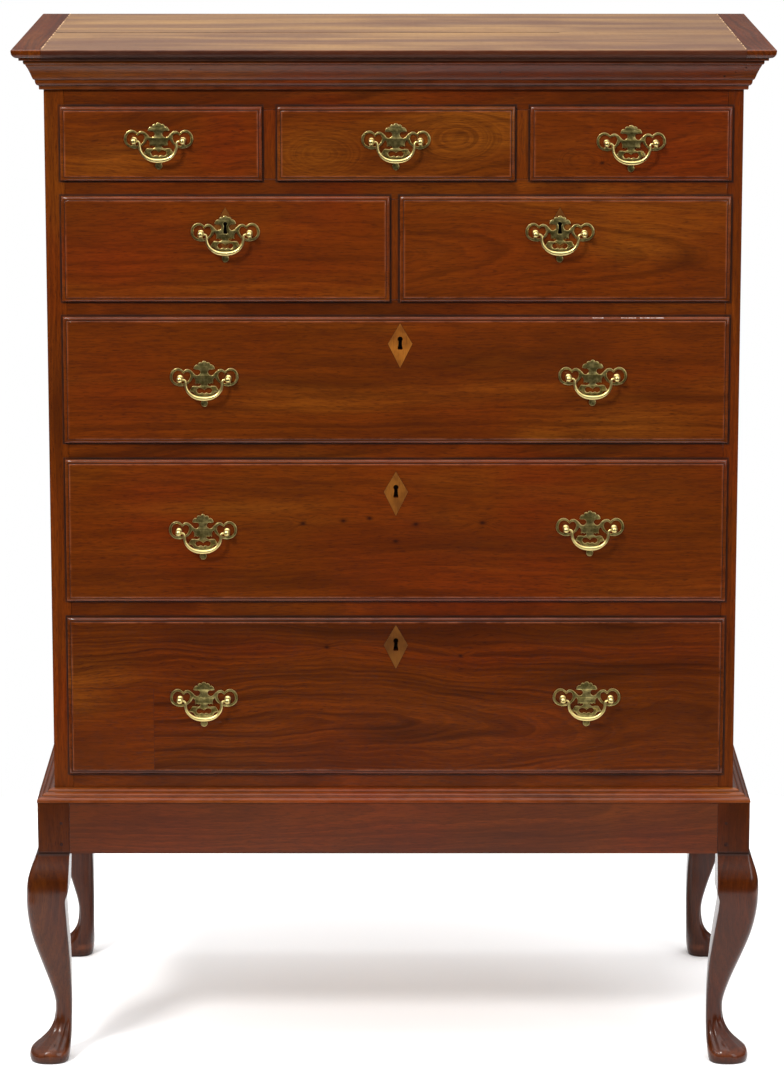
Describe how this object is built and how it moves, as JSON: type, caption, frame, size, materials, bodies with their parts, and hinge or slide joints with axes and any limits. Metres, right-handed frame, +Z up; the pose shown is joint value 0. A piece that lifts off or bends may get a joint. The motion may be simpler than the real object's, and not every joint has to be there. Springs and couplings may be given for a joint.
{
  "type": "chest of drawers",
  "caption": "Tall walnut chest of lipped drawers with pierced brass bail pulls, a moulded cornice and a low stand on cabriole legs.",
  "frame": {"origin": "on the floor, in the middle of the footprint of the whole chest", "axes": "+Z up, -Y towards the front where the drawers open, +X to the right of someone who faces the chest"},
  "size_m": [1.1094, 0.6264, 1.54],
  "materials": {
    "walnut": "aged red-brown walnut, waxed and softly glossy",
    "drawer_walnut": "figured red-brown walnut, waxed and glossy",
    "poplar": "unfinished aged secondary wood",
    "brass": "cast brass with olive tarnish and worn edges"
  },
  "bodies": {
    "case": {"bottom_rail": "walnut", "case_back": "poplar", "case_bottom": "poplar", "case_side_left": "walnut", "case_side_right": "walnut", "case_top": "walnut", "cornice_moulding": "walnut", "leg_front_left": "walnut", "leg_front_right": "walnut", "leg_rear_left": "walnut", "leg_rear_right": "walnut", "rail_1": "walnut", "rail_2": "walnut", "rail_3": "walnut", "rail_4": "walnut", "stand_rail_back": "poplar", "stand_rail_front": "walnut", "stand_rail_left": "walnut", "stand_rail_right": "walnut", "top_rail": "walnut", "waist_moulding": "walnut"},
    "drawer_top_left": {"drawer_front_top_left": "drawer_walnut", "drawer_box_top_left": "poplar", "pull_plate_top_left": "brass"},
    "drawer_top_middle": {"drawer_front_top_middle": "drawer_walnut", "drawer_box_top_middle": "poplar", "pull_plate_top_middle": "brass"},
    "drawer_top_right": {"drawer_front_top_right": "drawer_walnut", "drawer_box_top_right": "poplar", "pull_plate_top_right": "brass"},
    "drawer_second_left": {"drawer_front_second_left": "drawer_walnut", "drawer_box_second_left": "poplar", "pull_plate_second_left": "brass"},
    "drawer_second_right": {"drawer_front_second_right": "drawer_walnut", "drawer_box_second_right": "poplar", "pull_plate_second_right": "brass"},
    "drawer_third": {"drawer_front_third": "drawer_walnut", "drawer_box_third": "poplar", "pull_plate_third_left": "brass", "pull_plate_third_right": "brass"},
    "drawer_fourth": {"drawer_front_fourth": "drawer_walnut", "drawer_box_fourth": "poplar", "pull_plate_fourth_left": "brass", "pull_plate_fourth_right": "brass"},
    "drawer_bottom": {"drawer_front_bottom": "drawer_walnut", "drawer_box_bottom": "poplar", "pull_plate_bottom_left": "brass", "pull_plate_bottom_right": "brass"},
    "bail_top_left": {"pull_bail_top_left": "brass"},
    "bail_top_middle": {"pull_bail_top_middle": "brass"},
    "bail_top_right": {"pull_bail_top_right": "brass"},
    "bail_second_left": {"pull_bail_second_left": "brass"},
    "bail_second_right": {"pull_bail_second_right": "brass"},
    "bail_third_left": {"pull_bail_third_left": "brass"},
    "bail_third_right": {"pull_bail_third_right": "brass"},
    "bail_fourth_left": {"pull_bail_fourth_left": "brass"},
    "bail_fourth_right": {"pull_bail_fourth_right": "brass"},
    "bail_bottom_left": {"pull_bail_bottom_left": "brass"},
    "bail_bottom_right": {"pull_bail_bottom_right": "brass"}
  },
  "joints": [
    {"name": "drawer_top_left_slide", "type": "slide", "parent": "case", "child": "drawer_top_left", "axis": [0, -1, 0], "range_m": [0, 0.38]},
    {"name": "drawer_top_middle_slide", "type": "slide", "parent": "case", "child": "drawer_top_middle", "axis": [0, -1, 0], "range_m": [0, 0.38]},
    {"name": "drawer_top_right_slide", "type": "slide", "parent": "case", "child": "drawer_top_right", "axis": [0, -1, 0], "range_m": [0, 0.38]},
    {"name": "drawer_second_left_slide", "type": "slide", "parent": "case", "child": "drawer_second_left", "axis": [0, -1, 0], "range_m": [0, 0.38]},
    {"name": "drawer_second_right_slide", "type": "slide", "parent": "case", "child": "drawer_second_right", "axis": [0, -1, 0], "range_m": [0, 0.38]},
    {"name": "drawer_third_slide", "type": "slide", "parent": "case", "child": "drawer_third", "axis": [0, -1, 0], "range_m": [0, 0.38]},
    {"name": "drawer_fourth_slide", "type": "slide", "parent": "case", "child": "drawer_fourth", "axis": [0, -1, 0], "range_m": [0, 0.38]},
    {"name": "drawer_bottom_slide", "type": "slide", "parent": "case", "child": "drawer_bottom", "axis": [0, -1, 0], "range_m": [0, 0.38]},
    {"name": "bail_top_left_hinge", "type": "hinge", "parent": "drawer_top_left", "child": "bail_top_left", "pos_m": [-0.3435, -0.29405, 1.4057], "axis": [-1, 0, 0], "range_deg": [0, 100]},
    {"name": "bail_top_middle_hinge", "type": "hinge", "parent": "drawer_top_middle", "child": "bail_top_middle", "pos_m": [0.0032, -0.29405, 1.4046], "axis": [-1, 0, 0], "range_deg": [0, 100]},
    {"name": "bail_top_right_hinge", "type": "hinge", "parent": "drawer_top_right", "child": "bail_top_right", "pos_m": [0.3468, -0.29405, 1.402], "axis": [-1, 0, 0], "range_deg": [0, 100]},
    {"name": "bail_second_left_hinge", "type": "hinge", "parent": "drawer_second_left", "child": "bail_second_left", "pos_m": [-0.2471, -0.29405, 1.269], "axis": [-1, 0, 0], "range_deg": [0, 100]},
    {"name": "bail_second_right_hinge", "type": "hinge", "parent": "drawer_second_right", "child": "bail_second_right", "pos_m": [0.2438, -0.29405, 1.269], "axis": [-1, 0, 0], "range_deg": [0, 100]},
    {"name": "bail_third_left_hinge", "type": "hinge", "parent": "drawer_third", "child": "bail_third_left", "pos_m": [-0.2798, -0.29405, 1.0535], "axis": [-1, 0, 0], "range_deg": [0, 100]},
    {"name": "bail_third_right_hinge", "type": "hinge", "parent": "drawer_third", "child": "bail_third_right", "pos_m": [0.2937, -0.29405, 1.0551], "axis": [-1, 0, 0], "range_deg": [0, 100]},
    {"name": "bail_fourth_left_hinge", "type": "hinge", "parent": "drawer_fourth", "child": "bail_fourth_left", "pos_m": [-0.2836, -0.29405, 0.8227], "axis": [-1, 0, 0], "range_deg": [0, 100]},
    {"name": "bail_fourth_right_hinge", "type": "hinge", "parent": "drawer_fourth", "child": "bail_fourth_right", "pos_m": [0.2918, -0.29405, 0.8277], "axis": [-1, 0, 0], "range_deg": [0, 100]},
    {"name": "bail_bottom_left_hinge", "type": "hinge", "parent": "drawer_bottom", "child": "bail_bottom_left", "pos_m": [-0.2844, -0.29405, 0.5662], "axis": [-1, 0, 0], "range_deg": [0, 100]},
    {"name": "bail_bottom_right_hinge", "type": "hinge", "parent": "drawer_bottom", "child": "bail_bottom_right", "pos_m": [0.2891, -0.29405, 0.5671], "axis": [-1, 0, 0], "range_deg": [0, 100]}
  ]
}
